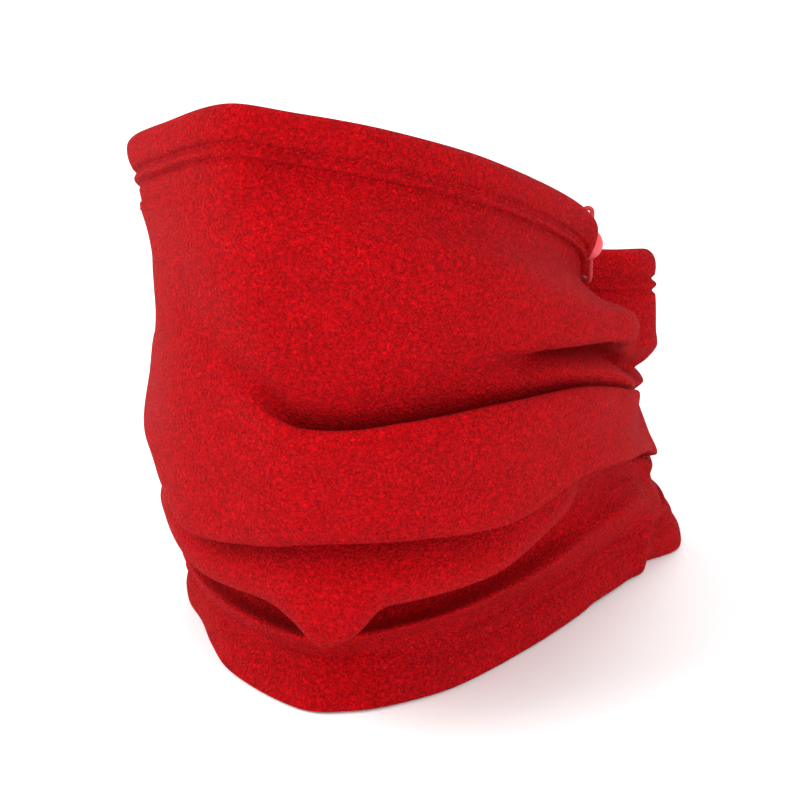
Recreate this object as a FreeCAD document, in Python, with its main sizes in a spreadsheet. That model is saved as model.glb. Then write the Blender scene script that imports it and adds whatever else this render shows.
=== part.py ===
import FreeCAD, Part
import Sketcher
import math
import os
import re

# Fleece neck gaiter, standing on its lower hem.  Millimetres, +Z up, the wearer's face towards -Y.
# Seen from above, every ring runs anticlockwise, from the nose round the wearer's left side.

App = FreeCAD
Vector = App.Vector

os.makedirs("parts", exist_ok=True)
doc = App.newDocument("NeckGaiter")

# Driving dimensions
sheet = doc.addObject("Spreadsheet::Sheet", "Dimensions")
dimensions = [
    ("fleeceThickness", 2.0),
    ("hemDepth", 17.5),
    ("topHemThickness", 5.2),
    ("bottomHemThickness", 4.0),
    ("hemRounding", 1.5),
    ("plyThickness", 1.3),
    ("channelTop", 2.5),
    ("channelBottom", 10.8),
    ("upperStitchDrop", 12.0),
    ("stitchGauge", 4.4),
    ("stitchWidth", 1.0),
    ("stitchProud", 0.4),
    ("bandFlare", 0.22),
    ("seamStation", 14.3),
    ("seamWidth", 7.0),
    ("seamThickness", 1.2),
    ("seamGap", 0.3),
    ("labelStation", 14.0),
    ("labelInset", 3.6),
    ("labelWidth", 20.0),
    ("labelHeight", 30.0),
    ("labelThickness", 0.5),
    ("labelDrop", 1.5),
    ("cordRadius", 0.8),
    ("cordSpacing", 3.0),
    ("cordInset", 2.9),
    ("cordDrop", 8.0),
    ("cordLoopTop", 137.0),
    ("cordBend", 2.2),
    ("frontEyeletStation", 8.2),
    ("rearEyeletStation", 9.8),
    ("eyeletBore", 1.5),
    ("eyeletBarrel", 1.8),
    ("eyeletFlange", 2.5),
    ("eyeletSheet", 0.3),
    ("eyeletDepth", 1.85),
    ("washerSeat", 1.82),
    ("eyeletPlay", 0.05),
    ("ballRadius", 5.5),
    ("ballX", 40.6),
    ("ballY", 45.2),
    ("ballZ", 126.0),
    ("boreRadius", 1.0),
    ("wellRadius", 3.25),
    ("wellStep", 3.7),
    ("wellFloor", 4.6),
    ("springPocket", 2.4),
    ("plungerRadius", 3.1),
    ("plungerBack", 1.8),
    ("plungerFront", 7.0),
    ("plungerTurn", 34.0),
    ("plungerRim", 0.6),
    ("slotBack", 1.05),
    ("slotFront", 2.9),
    ("slotWidth", 5.0),
    ("springRadius", 2.1),
    ("springWire", 0.2),
    ("springPitch", 0.75),
    ("springCoils", 3.0),
]
for row, (alias, value) in enumerate(dimensions, start=1):
    sheet.set("A%d" % row, alias)
    sheet.set("B%d" % row, str(value))
    sheet.setAlias("B%d" % row, alias)
doc.recompute()


def size(alias):
    return float(getattr(sheet, alias))


# The three outlines of the outside surface: top edge, belly and floor.
# Stations 6 to 11 run in and out of the gather where the drawcord leaves the casing.
crown = [
    (9, -109, 198.5), (30, -98, 196), (50, -81.5, 190.5), (60.5, -53, 178.5), (60.5, -17, 161),
    (56.5, 12.5, 146.5), (54, 27.5, 138), (46.5, 35.5, 131.5), (36.5, 38.5, 126), (30, 45, 121.5),
    (34.5, 53, 120.5), (43, 62, 119.5), (44.5, 84.5, 115), (29, 98, 112), (-0.5, 100, 114),
    (-31.5, 85, 119.5), (-57.5, 49.5, 130.5), (-68.5, 3.5, 145.5), (-68.5, -42.5, 159), (-57.5, -73, 170),
    (-26, -95, 186),
]
belly = [
    (14.5, -107, 81), (34.5, -104.5, 83.5), (58.5, -90.5, 87.5), (74, -61, 84.5), (78, -24, 79),
    (76, 3.5, 73.5), (74, 18, 72), (71.5, 29, 71), (68.5, 38.5, 70), (66, 48.5, 69),
    (64, 58.5, 68), (62, 69.5, 67), (56.5, 88, 64.5), (34.5, 102.5, 62.5), (-0.5, 105.5, 62.5),
    (-37, 91.5, 64.5), (-65.5, 56.5, 66), (-77.5, 7, 70), (-70.5, -46.5, 73.5), (-52, -79.5, 75.5),
    (-19, -99.5, 79),
]
foot = [
    (11.5, -83, 0), (27, -76, 0), (40, -64, 0), (49.5, -42.5, 0), (56.5, -7.5, 0),
    (59.5, 20, 0), (60.5, 31, 0), (61, 40, 0), (61.5, 48.5, 0), (61.5, 56.5, 0),
    (61.5, 65, 0), (60.5, 73.5, 0), (56.5, 91.5, 0), (36.5, 108, 0), (1.5, 110, 0),
    (-36, 97, 0), (-65.5, 60.5, 0), (-77.5, 12.5, 0), (-72, -37, 0), (-53.5, -59, 0),
    (-22.5, -76.5, 0),
]
stationCount = len(crown)
upperRows = [0.0, 0.17, 0.34, 0.5]
lowerRows = [0.5, 0.67, 0.84, 1.0]


# ---- rings of cloth
def loopCurve(points):
    # A smooth closed curve led by the points, one knot for each.
    curve = Part.BSplineCurve()
    knots = [float(i) for i in range(len(points) + 1)]
    curve.buildFromPolesMultsKnots(points, [1] * len(knots), knots, True, 3)
    return curve


def knotOf(station):
    # The curve passes nearest a station's point one knot later than it is counted.
    return (station - 1) % stationCount


def vectors(outline):
    return [Vector(*point) for point in outline]


def inwardAt(curve, station):
    tangent = curve.tangent(knotOf(station))[0]
    return Vector(-tangent.y, tangent.x, 0).normalize()


def moved(points, inset, drop):
    # The same ring, shifted towards the inside of the tube and down.
    curve = loopCurve(points)
    return [
        point + inwardAt(curve, station) * inset - Vector(0, 0, drop)
        for station, point in enumerate(points)
    ]


def mixed(first, second, share):
    return [a * (1 - share) + b * share for a, b in zip(first, second)]


def flatRing(points):
    return max(p.z for p in points) - min(p.z for p in points) < 1e-6


def faceBetween(first, second, firstEdge, secondEdge):
    if flatRing(first) and flatRing(second) and abs(first[0].z - second[0].z) < 1e-6:
        return Part.makeFace([Part.Wire(firstEdge), Part.Wire(secondEdge)], "Part::FaceMakerBullseye")
    return Part.makeRuledSurface(firstEdge, secondEdge)


def closedSolid(faces):
    shell = Part.makeShell(faces)
    shell.sewShape()
    solid = Part.makeSolid(shell)
    if solid.Volume < 0:
        solid.reverse()
    return solid


def ringSolid(rings):
    # A closed hoop whose section is the polygon that the rings' points make.
    edges = [loopCurve(points).toShape() for points in rings]
    faces = []
    for i in range(len(rings)):
        k = (i + 1) % len(rings)
        faces.append(faceBetween(rings[i], rings[k], edges[i], edges[k]))
    return closedSolid(faces)


def stripSolid(sections):
    # An open strip through polygon sections, each one flat, with a cap at both ends.
    edges = []
    for corner in range(len(sections[0])):
        curve = Part.BSplineCurve()
        curve.interpolate(
            Points=[section[corner] for section in sections],
            Parameters=[float(i) for i in range(len(sections))],
        )
        edges.append(curve.toShape())
    faces = [Part.makeRuledSurface(edges[i - 1], edges[i]) for i in range(len(edges))]
    for section in (sections[0], sections[-1]):
        faces.append(Part.Face(Part.makePolygon(section + section[:1])))
    return closedSolid(faces)


def addSoft(name, shape):
    feature = doc.addObject("Part::Feature", name)
    feature.Shape = shape
    return feature


crownPoints = vectors(crown)
bellyPoints = vectors(belly)
footPoints = vectors(foot)
bandPoints = [
    point + Vector(0, 0, size("hemDepth"))
    for point in [
        low + Vector(high.x - low.x, high.y - low.y, 0) * size("bandFlare")
        for low, high in zip(footPoints, bellyPoints)
    ]
]
hemLine = moved(crownPoints, 0, size("hemDepth"))


def tubeRing(share):
    # A parabola through the hem line, the belly and the top of the lower hem.
    upper = (1 - share) * (1 - 2 * share)
    middle = 4 * share * (1 - share)
    lower = share * (2 * share - 1)
    return [a * upper + b * middle + c * lower for a, b, c in zip(hemLine, bellyPoints, bandPoints)]


def makeFleece(name, rows):
    outside = [tubeRing(share) for share in rows]
    inside = [moved(ring, size("fleeceThickness"), 0) for ring in outside]
    return addSoft(name, ringSolid(outside + inside[::-1]))


def makeTopHem():
    depth = size("hemDepth")
    thick = size("topHemThickness")
    rounding = size("hemRounding")
    section = [
        (0, depth), (0, rounding), (rounding, 0),
        (thick - rounding, 0), (thick, rounding), (thick, depth),
    ]
    casing = addSoft("casing_blank", ringSolid([moved(crownPoints, *corner) for corner in section]))
    ply = size("plyThickness")
    top = size("channelTop")
    bottom = size("channelBottom")
    channelSection = [(ply, top), (thick - ply, top), (thick - ply, bottom), (ply, bottom)]
    channel = addSoft(
        "channel_blank", ringSolid([moved(crownPoints, *corner) for corner in channelSection])
    )
    openings = [channel] + [makeEyeletHole(side) for side in ("front", "rear")]
    tools = doc.addObject("Part::MultiFuse", "casing_openings")
    tools.Shapes = openings
    hem = doc.addObject("Part::Cut", "top_hem")
    hem.Base = casing
    hem.Tool = tools
    return hem


def makeBottomHem():
    thick = size("bottomHemThickness")
    rings = [footPoints, bandPoints, moved(bandPoints, thick, 0), moved(footPoints, thick, 0)]
    return addSoft("bottom_hem", ringSolid(rings))


def stitchRing(points, drop):
    half = size("stitchWidth") / 2
    proud = size("stitchProud")
    section = [(0, drop - half), (0, drop + half), (-proud, drop + half / 2), (-proud, drop - half / 2)]
    return ringSolid([moved(points, *corner) for corner in section])


def bottomStitchRing(height):
    half = size("stitchWidth") / 2
    proud = size("stitchProud")
    section = [(0, -half), (0, half), (-proud, half / 2), (-proud, -half / 2)]
    rings = []
    for inset, rise in section:
        share = (height + rise) / size("hemDepth")
        rings.append(moved(mixed(footPoints, bandPoints, share), inset, 0))
    return ringSolid(rings)


def makeStitching():
    upper = size("upperStitchDrop")
    lower = upper + size("stitchGauge")
    return [
        addSoft("top_stitch_upper", stitchRing(crownPoints, upper)),
        addSoft("top_stitch_lower", stitchRing(crownPoints, lower)),
        addSoft("bottom_stitch_upper", bottomStitchRing(lower)),
        addSoft("bottom_stitch_lower", bottomStitchRing(upper)),
    ]


def makeBackSeam():
    # The seam allowance, pressed to one side inside the tube.
    near = size("fleeceThickness") + size("seamGap")
    far = near + size("seamThickness")
    half = size("seamWidth") / 2
    sections = []
    for share in upperRows[1:] + lowerRows[1:-1]:
        curve = loopCurve(tubeRing(share))
        middle = curve.value(knotOf(size("seamStation")))
        along = curve.tangent(knotOf(size("seamStation")))[0]
        inward = inwardAt(curve, size("seamStation"))
        corners = [(-half, near), (half, near), (half, far), (-half, far)]
        sections.append([middle + along * side + inward * inset for side, inset in corners])
    return addSoft("back_seam", stripSolid(sections))


# ---- drawcord
def stationPoint(station, inset, drop):
    return loopCurve(moved(crownPoints, inset, drop)).value(knotOf(station))


def eyeletStation(side):
    return size(side + "EyeletStation")


def makeDrawcord():
    radius = size("cordRadius")
    inset = size("cordInset")
    drop = size("cordDrop")
    start = eyeletStation("rear")
    finish = eyeletStation("front") + stationCount
    steps = 2 * stationCount
    sections = []
    for step in range(steps + 1):
        station = start + (finish - start) * step / steps
        corners = [math.radians(60 * k) for k in range(6)]
        sections.append([
            stationPoint(station, inset + radius * math.cos(a), drop + radius * math.sin(a))
            for a in corners
        ])
    run = addSoft("cord_run", stripSolid(sections))
    loop = addSoft("cord_loop", cordLoopShape())
    ends = doc.addObject("Part::Cut", "cord_loop_ends")
    ends.Base = loop
    ends.Tool = run
    cord = doc.addObject("Part::Compound", "drawcord")
    cord.Links = [run, ends]
    return cord


def bentPath(points, radius):
    # Straight runs joined by tangent arcs.
    edges = []
    start = points[0]
    for i in range(1, len(points) - 1):
        before = (points[i - 1] - points[i]).normalize()
        after = (points[i + 1] - points[i]).normalize()
        half = before.getAngle(after) / 2
        reach = radius / math.tan(half)
        bisector = (before + after).normalize()
        centre = points[i] + bisector * (radius / math.sin(half))
        first = points[i] + before * reach
        last = points[i] + after * reach
        edges.append(Part.LineSegment(start, first).toShape())
        edges.append(Part.Arc(first, centre - bisector * radius, last).toShape())
        start = last
    edges.append(Part.LineSegment(start, points[-1]).toShape())
    return edges


def cordLoopShape():
    # Out of the front eyelet, up through the lock, over, and back into the rear eyelet.
    turn = math.radians(size("plungerTurn"))
    aside = Vector(math.cos(turn), math.sin(turn), 0) * (size("cordSpacing") / 2)
    centre = Vector(size("ballX"), size("ballY"), size("cordLoopTop"))
    front = centre - aside
    rear = centre + aside
    frontEye = stationPoint(eyeletStation("front"), size("cordInset"), size("cordDrop"))
    rearEye = stationPoint(eyeletStation("rear"), size("cordInset"), size("cordDrop"))
    rising = [frontEye, Vector(front.x, front.y, frontEye.z), front]
    falling = [rear, Vector(rear.x, rear.y, rearEye.z), rearEye]
    crest = centre + Vector(0, 0, size("cordSpacing") / 2)
    edges = bentPath(rising, size("cordBend"))
    edges.append(Part.Arc(front, crest, rear).toShape())
    edges += bentPath(falling, size("cordBend"))
    path = Part.Wire(edges)
    facing = (rising[1] - rising[0]).normalize()
    ring = Part.Wire(Part.makeCircle(size("cordRadius"), rising[0], facing))
    loop = path.makePipeShell([ring], True, False)
    print("cord loop length", round(path.Length, 1), "volume over section x length",
          round(loop.Volume / (math.pi * size("cordRadius") ** 2 * path.Length), 3))
    return loop


# ---- hard pieces
def linked(text):
    # Every word in these expressions is a name on the sheet.
    return re.sub(r"([A-Za-z]+)", r"Dimensions.\1", text)


def numeric(text):
    return float(sheet.evalExpression(linked(text)))


def newSketch(body, name, role):
    plane = [feature for feature in body.Origin.OriginFeatures if feature.Role == role][0]
    sketch = body.newObject("Sketcher::SketchObject", name)
    sketch.AttachmentSupport = [(plane, "")]
    sketch.MapMode = "FlatFace"
    return sketch


def holdPoint(sketch, geometry, end, acrossText, upText):
    # Holds one point of a sketch from its origin, across and up.
    for kind, text, axis in (("DistanceX", acrossText, -2), ("DistanceY", upText, -1)):
        if text == "0":
            sketch.addConstraint(Sketcher.Constraint("PointOnObject", geometry, end, axis))
        else:
            held = Sketcher.Constraint(kind, -1, 1, geometry, end, numeric(text))
            sketch.setExpression("Constraints[%d]" % sketch.addConstraint(held), linked(text))


def drawOutline(sketch, corners):
    points = [Vector(numeric(across), numeric(up), 0) for across, up in corners]
    count = len(corners)
    for i in range(count):
        sketch.addGeometry(Part.LineSegment(points[i], points[(i + 1) % count]))
    for i in range(count):
        sketch.addConstraint(Sketcher.Constraint("Coincident", i, 2, (i + 1) % count, 1))
    for i, (across, up) in enumerate(corners):
        holdPoint(sketch, i, 1, across, up)


def drawCircle(sketch, radiusText, acrossText="0", upText="0"):
    centre = Vector(numeric(acrossText), numeric(upText), 0)
    index = sketch.addGeometry(Part.Circle(centre, Vector(0, 0, 1), numeric(radiusText)))
    holdPoint(sketch, index, 3, acrossText, upText)
    held = Sketcher.Constraint("Radius", index, numeric(radiusText))
    sketch.setExpression("Constraints[%d]" % sketch.addConstraint(held), linked(radiusText))


def addRevolution(body, name, corners):
    sketch = newSketch(body, name + "_profile", "XZ_Plane")
    drawOutline(sketch, corners)
    turned = body.newObject("PartDesign::Revolution", name)
    turned.Profile = sketch
    turned.ReferenceAxis = (sketch, ["V_Axis"])
    turned.Angle = 360.0
    return turned


def addPad(body, name, sketch, lengthText):
    pad = body.newObject("PartDesign::Pad", name)
    pad.Profile = sketch
    pad.setExpression("Length", linked(lengthText))
    return pad


def addThroughPocket(body, name, sketch):
    pocket = body.newObject("PartDesign::Pocket", name)
    pocket.Profile = sketch
    pocket.Type = "ThroughAll"
    pocket.Midplane = True
    return pocket


def eyeletPlacement(side):
    station = eyeletStation(side)
    curve = loopCurve(crownPoints)
    outward = inwardAt(curve, station) * -1
    return App.Placement(
        stationPoint(station, 0, size("cordDrop")), App.Rotation(Vector(0, 0, 1), outward)
    )


def makeEyeletHole(side):
    # Room for the barrel through the outer ply, and flat seats for the flange and the washer.
    barrel = doc.addObject("Part::Cylinder", side + "_barrel_hole")
    barrel.setExpression("Radius", linked("eyeletBarrel + eyeletPlay"))
    barrel.setExpression("Height", linked("washerSeat + eyeletFlange"))
    seat = doc.addObject("Part::Cylinder", side + "_flange_seat")
    seat.setExpression("Radius", linked("eyeletFlange + eyeletPlay"))
    seat.setExpression("Height", linked("eyeletFlange"))
    recess = doc.addObject("Part::Cylinder", side + "_washer_recess")
    recess.setExpression("Radius", linked("eyeletFlange + eyeletPlay"))
    recess.setExpression("Height", linked("eyeletSheet + eyeletPlay"))
    place = eyeletPlacement(side)
    depth = place.Rotation.multVec(Vector(0, 0, -size("washerSeat")))
    barrel.Placement = App.Placement(place.Base + depth, place.Rotation)
    recess.Placement = barrel.Placement
    seat.Placement = place
    hole = doc.addObject("Part::MultiFuse", side + "_eyelet_hole")
    hole.Shapes = [barrel, seat, recess]
    return hole


def makeEyelet(side):
    body = doc.addObject("PartDesign::Body", "eyelet_" + side)
    addRevolution(body, side + "_eyelet_turned", [
        ("eyeletBore", "-eyeletDepth"),
        ("eyeletBarrel", "-eyeletDepth"),
        ("eyeletBarrel", "0"),
        ("eyeletFlange", "0"),
        ("eyeletFlange", "eyeletSheet"),
        ("eyeletBore", "eyeletSheet"),
    ])
    body.Placement = eyeletPlacement(side)
    return body


def makeWasher(side):
    body = doc.addObject("PartDesign::Body", "eyelet_washer_" + side)
    sketch = newSketch(body, side + "_washer_ring", "XY_Plane")
    drawCircle(sketch, "eyeletFlange")
    drawCircle(sketch, "eyeletBarrel + eyeletPlay")
    addPad(body, side + "_washer_sheet", sketch, "eyeletSheet")
    place = eyeletPlacement(side)
    depth = place.Rotation.multVec(Vector(0, 0, -size("washerSeat")))
    body.Placement = App.Placement(place.Base + depth, place.Rotation)
    return body


def lockPlacement(body):
    # The piece's own Z is the plunger's axis, its Y runs up along the cords.
    turn = math.radians(size("plungerTurn"))
    across = Vector(-math.cos(turn), -math.sin(turn), 0)
    outward = Vector(-math.sin(turn), math.cos(turn), 0)
    body.Placement = App.Placement(
        Vector(size("ballX"), size("ballY"), size("ballZ")),
        App.Rotation(across, Vector(0, 0, 1), outward, "ZXY"),
    )


def makeLockShell():
    body = doc.addObject("PartDesign::Body", "lock_shell")
    sketch = newSketch(body, "ball_profile", "XZ_Plane")
    radius = size("ballRadius")
    sketch.addGeometry(Part.ArcOfCircle(
        Part.Circle(Vector(0, 0, 0), Vector(0, 0, 1), radius), -math.pi / 2, math.pi / 2
    ))
    sketch.addGeometry(Part.LineSegment(Vector(0, radius, 0), Vector(0, -radius, 0)))
    sketch.addConstraint(Sketcher.Constraint("Coincident", 0, 2, 1, 1))
    sketch.addConstraint(Sketcher.Constraint("Coincident", 1, 2, 0, 1))
    sketch.addConstraint(Sketcher.Constraint("Coincident", 0, 3, -1, 1))
    sketch.addConstraint(Sketcher.Constraint("PointOnObject", 0, 1, -2))
    sketch.addConstraint(Sketcher.Constraint("PointOnObject", 0, 2, -2))
    held = sketch.addConstraint(Sketcher.Constraint("Radius", 0, radius))
    sketch.setExpression("Constraints[%d]" % held, linked("ballRadius"))
    ball = body.newObject("PartDesign::Revolution", "ball")
    ball.Profile = sketch
    ball.ReferenceAxis = (sketch, ["V_Axis"])
    ball.Angle = 360.0
    doc.recompute()
    whole = ball.Shape.Volume

    wellProfile = newSketch(body, "well_profile", "XZ_Plane")
    drawOutline(wellProfile, [
        ("0", "-wellFloor"), ("springPocket", "-wellFloor"),
        ("springPocket", "-wellStep"), ("wellRadius", "-wellStep"),
        ("wellRadius", "ballRadius"), ("0", "ballRadius"),
    ])
    well = body.newObject("PartDesign::Groove", "plunger_well")
    well.Profile = wellProfile
    well.ReferenceAxis = (wellProfile, ["V_Axis"])
    well.Angle = 360.0
    doc.recompute()
    wellCut = well.Shape.Volume

    bores = newSketch(body, "cord_bores", "XZ_Plane")
    drawCircle(bores, "boreRadius", "cordSpacing / 2", "0")
    drawCircle(bores, "boreRadius", "-cordSpacing / 2", "0")
    drilled = addThroughPocket(body, "cord_holes", bores)
    doc.recompute()
    print("lock shell volumes", round(whole, 1), round(wellCut, 1), round(drilled.Shape.Volume, 1))
    lockPlacement(body)
    return body


def makeLockPlunger():
    body = doc.addObject("PartDesign::Body", "lock_plunger")
    addRevolution(body, "plunger_turned", [
        ("0", "-plungerBack"),
        ("plungerRadius", "-plungerBack"),
        ("plungerRadius", "plungerFront - plungerRim"),
        ("plungerRadius - plungerRim", "plungerFront"),
        ("0", "plungerFront"),
    ])
    slot = newSketch(body, "slot_outline", "XZ_Plane")
    drawOutline(slot, [
        ("-slotWidth / 2", "-slotBack"), ("slotWidth / 2", "-slotBack"),
        ("slotWidth / 2", "slotFront"), ("-slotWidth / 2", "slotFront"),
    ])
    addThroughPocket(body, "cord_slot", slot)
    lockPlacement(body)
    return body


def makeLockSpring():
    path = doc.addObject("Part::Helix", "spring_path")
    path.setExpression("Pitch", linked("springPitch"))
    path.setExpression("Height", linked("springPitch * springCoils"))
    path.setExpression("Radius", linked("springRadius"))
    doc.recompute()
    wire = Part.Wire(path.Shape.Edges)
    start = Vector(size("springRadius"), 0, 0)
    section = Part.Wire(Part.makeCircle(size("springWire"), start, Vector(0, 1, 0)))
    coil = wire.makePipeShell([section], True, True)
    spring = addSoft("lock_spring", coil)
    lockPlacement(spring)
    room = size("wellFloor") - size("plungerBack") - size("springPitch") * size("springCoils")
    outward = spring.Placement.Rotation.multVec(Vector(0, 0, 1))
    spring.Placement.Base += outward * (room / 2 - size("wellFloor"))
    return spring


def makeCareLabel():
    body = doc.addObject("PartDesign::Body", "care_label")
    sketch = newSketch(body, "label_outline", "XY_Plane")
    drawOutline(sketch, [
        ("-labelWidth / 2", "-labelHeight"), ("labelWidth / 2", "-labelHeight"),
        ("labelWidth / 2", "-seamGap"), ("-labelWidth / 2", "-seamGap"),
    ])
    addPad(body, "label_tape", sketch, "labelThickness")
    station = size("labelStation")
    curve = loopCurve(crownPoints)
    outward = inwardAt(curve, station) * -1
    upright = Vector(0, 0, 1)
    body.Placement = App.Placement(
        stationPoint(station, size("labelInset"), size("hemDepth") + size("labelDrop")),
        App.Rotation(upright.cross(outward), upright, outward, "ZXY"),
    )
    return body


nodes = [makeFleece("fleece_upper", upperRows), makeFleece("fleece_lower", lowerRows)]
nodes += [makeTopHem(), makeBottomHem()]
nodes += makeStitching()
nodes += [makeBackSeam(), makeCareLabel(), makeDrawcord()]
for side in ("front", "rear"):
    nodes += [makeEyelet(side), makeWasher(side)]
nodes += [makeLockShell(), makeLockPlunger(), makeLockSpring()]
doc.recompute()

for item in doc.Objects:
    if "Invalid" in item.State or "Error" in item.State:
        raise RuntimeError("failed feature: " + item.Name)
for node in nodes:
    node.Label = node.Name
    if node.Shape.isNull() or not node.Shape.isValid():
        raise RuntimeError("bad shape: " + node.Name)
for node in nodes:
    node.Shape.exportStep("parts/%s.step" % node.Label)
    box = node.Shape.BoundBox
    print(node.Label, len(node.Shape.Solids), "solid(s)", round(node.Shape.Volume, 1), "mm3",
          [round(v, 1) for v in (box.XMin, box.XMax, box.YMin, box.YMax, box.ZMin, box.ZMax)])
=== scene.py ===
import math

import bpy
import numpy as np
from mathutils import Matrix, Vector


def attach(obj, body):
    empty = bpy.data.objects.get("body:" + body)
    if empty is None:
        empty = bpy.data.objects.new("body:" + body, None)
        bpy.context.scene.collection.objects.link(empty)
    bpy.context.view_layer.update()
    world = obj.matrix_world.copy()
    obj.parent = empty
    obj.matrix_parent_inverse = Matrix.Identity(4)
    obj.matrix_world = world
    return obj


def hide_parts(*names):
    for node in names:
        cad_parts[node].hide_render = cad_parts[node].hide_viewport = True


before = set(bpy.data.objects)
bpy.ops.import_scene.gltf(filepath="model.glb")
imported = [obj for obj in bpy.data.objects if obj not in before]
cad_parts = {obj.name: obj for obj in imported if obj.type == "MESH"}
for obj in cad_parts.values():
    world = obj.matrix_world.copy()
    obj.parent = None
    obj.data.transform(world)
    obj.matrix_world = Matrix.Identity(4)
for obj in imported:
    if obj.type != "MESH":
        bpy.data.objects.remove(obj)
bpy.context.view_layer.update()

# Fleece neck gaiter on its lower hem.  The wearer's face is towards -Y, the wearer's left is +X.
# Stations run anticlockwise seen from above: 0 nose, 6 to 11 the gather, 14 nape, 16 to 18 far side.
mm = 0.001


# Camera, floor and light.
view = {"azimuth": 34.0, "elevation": 21.0, "distance": 0.690, "lens": 92.8,
        "aim": (0.007, -0.004, 0.0782), "aimLeft": 0.0074}


def makeCamera():
    turn, lift = math.radians(view["azimuth"]), math.radians(view["elevation"])
    right = Vector((math.cos(turn), math.sin(turn), 0))
    back = Vector((math.sin(turn) * math.cos(lift), -math.cos(turn) * math.cos(lift), math.sin(lift)))
    target = Vector(view["aim"]) - right * view["aimLeft"]
    bpy.ops.object.camera_add(location=target + back * view["distance"])
    camera = bpy.context.object
    camera.name = "viewCamera"
    camera.rotation_euler = back.to_track_quat("Z", "Y").to_euler()
    camera.data.lens = view["lens"]
    camera.data.sensor_width = 36
    camera.data.clip_start = 0.01
    bpy.context.scene.camera = camera


def toLinear(code):
    # "#rrggbb" in sRGB to linear light
    values = [int(code[i:i + 2], 16) / 255 for i in (1, 3, 5)]
    return tuple(v / 12.92 if v <= 0.04045 else ((v + 0.055) / 1.055) ** 2.4 for v in values) + (1.0,)


def addNode(tree, kind, links=None, **settings):
    # one node, its settings, its unlinked inputs and its links
    node = tree.nodes.new(kind)
    inputs = settings.pop("inputs", {})
    for key, value in settings.items():
        setattr(node, key, value)
    for key, value in inputs.items():
        node.inputs[key].default_value = value
    for key, source in (links or {}).items():
        tree.links.new(source, node.inputs[key])
    return node


def newMaterial(name, **shaderValues):
    material = bpy.data.materials.new(name)
    material.use_nodes = True
    tree = material.node_tree
    shader = tree.nodes["Principled BSDF"]
    for key, value in shaderValues.items():
        shader.inputs[key.replace("_", " ")].default_value = value
    return material, tree, shader


def setRamp(node, stops):
    ramp = node.color_ramp
    while len(ramp.elements) < len(stops):
        ramp.elements.new(0.5)
    for element, (place, colour) in zip(ramp.elements, stops):
        element.position = place
        element.color = colour if len(colour) == 4 else (*colour, 1.0)


def deselectAll():
    if bpy.context.object and bpy.context.object.mode != "OBJECT":
        bpy.ops.object.mode_set(mode="OBJECT")
    bpy.ops.object.select_all(action="DESELECT")


def pickOnly(piece):
    deselectAll()
    piece.select_set(True)
    bpy.context.view_layer.objects.active = piece


studio = {"keyPower": 10.8, "keySize": 0.8, "fillPower": 12.0, "fillSize": 1.2, "rimPower": 4.0,
          "sidePower": 4.0, "aim": (0, 0, 0.09), "skyColour": "#ffffff", "skyStrength": 0.95,
          "floorColour": "#f2f2f2"}


def makeStudio():
    world = bpy.data.worlds.new("studioWorld")
    bpy.context.scene.world = world
    world.use_nodes = True
    background = world.node_tree.nodes["Background"]
    background.inputs["Color"].default_value = toLinear(studio["skyColour"])
    background.inputs["Strength"].default_value = studio["skyStrength"]
    bpy.context.scene.view_settings.view_transform = "Standard"
    lights = [
        ("keyLight", (-0.55, -0.75, 0.75), studio["keyPower"], studio["keySize"]),
        ("fillLight", (0.95, -0.55, 0.45), studio["fillPower"], studio["fillSize"]),
        ("rimLight", (-0.3, 0.9, 0.8), studio["rimPower"], studio["keySize"]),
        ("sideLight", (-1.1, -0.1, 0.4), studio["sidePower"], studio["fillSize"]),
    ]
    for name, place, power, side in lights:
        bpy.ops.object.light_add(type="AREA", location=place)
        lamp = bpy.context.object
        lamp.name = name
        lamp.data.energy = power
        lamp.data.size = side
        lamp.rotation_euler = (Vector(place) - Vector(studio["aim"])).to_track_quat("Z", "Y").to_euler()
    deselectAll()
    bpy.ops.mesh.primitive_plane_add(size=8, location=(0, 0, -0.0004))
    floor = bpy.context.object
    floor.name = "studioFloor"
    deselectAll()
    material, tree, shader = newMaterial("paperBackdrop", Roughness=0.9)
    shader.inputs["Base Color"].default_value = toLinear(studio["floorColour"])
    floor.data.materials.append(material)


makeCamera()
makeStudio()
print("camera and studio ready")


# Plan outlines in millimetres, one point for each station, as in the CAD.
crown = [
    (9, -109, 198.5), (30, -98, 196), (50, -81.5, 190.5), (60.5, -53, 178.5), (60.5, -17, 161),
    (56.5, 12.5, 146.5), (54, 27.5, 138), (46.5, 35.5, 131.5), (36.5, 38.5, 126), (30, 45, 121.5),
    (34.5, 53, 120.5), (43, 62, 119.5), (44.5, 84.5, 115), (29, 98, 112), (-0.5, 100, 114),
    (-31.5, 85, 119.5), (-57.5, 49.5, 130.5), (-68.5, 3.5, 145.5), (-68.5, -42.5, 159), (-57.5, -73, 170),
    (-26, -95, 186),
]
belly = [
    (14.5, -107), (34.5, -104.5), (58.5, -90.5), (74, -61), (78, -24), (76, 3.5), (74, 18), (71.5, 29),
    (68.5, 38.5), (66, 48.5), (64, 58.5), (62, 69.5), (56.5, 88), (34.5, 102.5), (-0.5, 105.5),
    (-37, 91.5), (-65.5, 56.5), (-77.5, 7), (-70.5, -46.5), (-52, -79.5), (-19, -99.5),
]
foot = [
    (11.5, -83), (27, -76), (40, -64), (49.5, -42.5), (56.5, -7.5), (59.5, 20), (60.5, 31), (61, 40),
    (61.5, 48.5), (61.5, 56.5), (61.5, 65), (60.5, 73.5), (56.5, 91.5), (36.5, 108), (1.5, 110),
    (-36, 97), (-65.5, 60.5), (-77.5, 12.5), (-72, -37), (-53.5, -59), (-22.5, -76.5),
]
stationCount = 21

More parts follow.
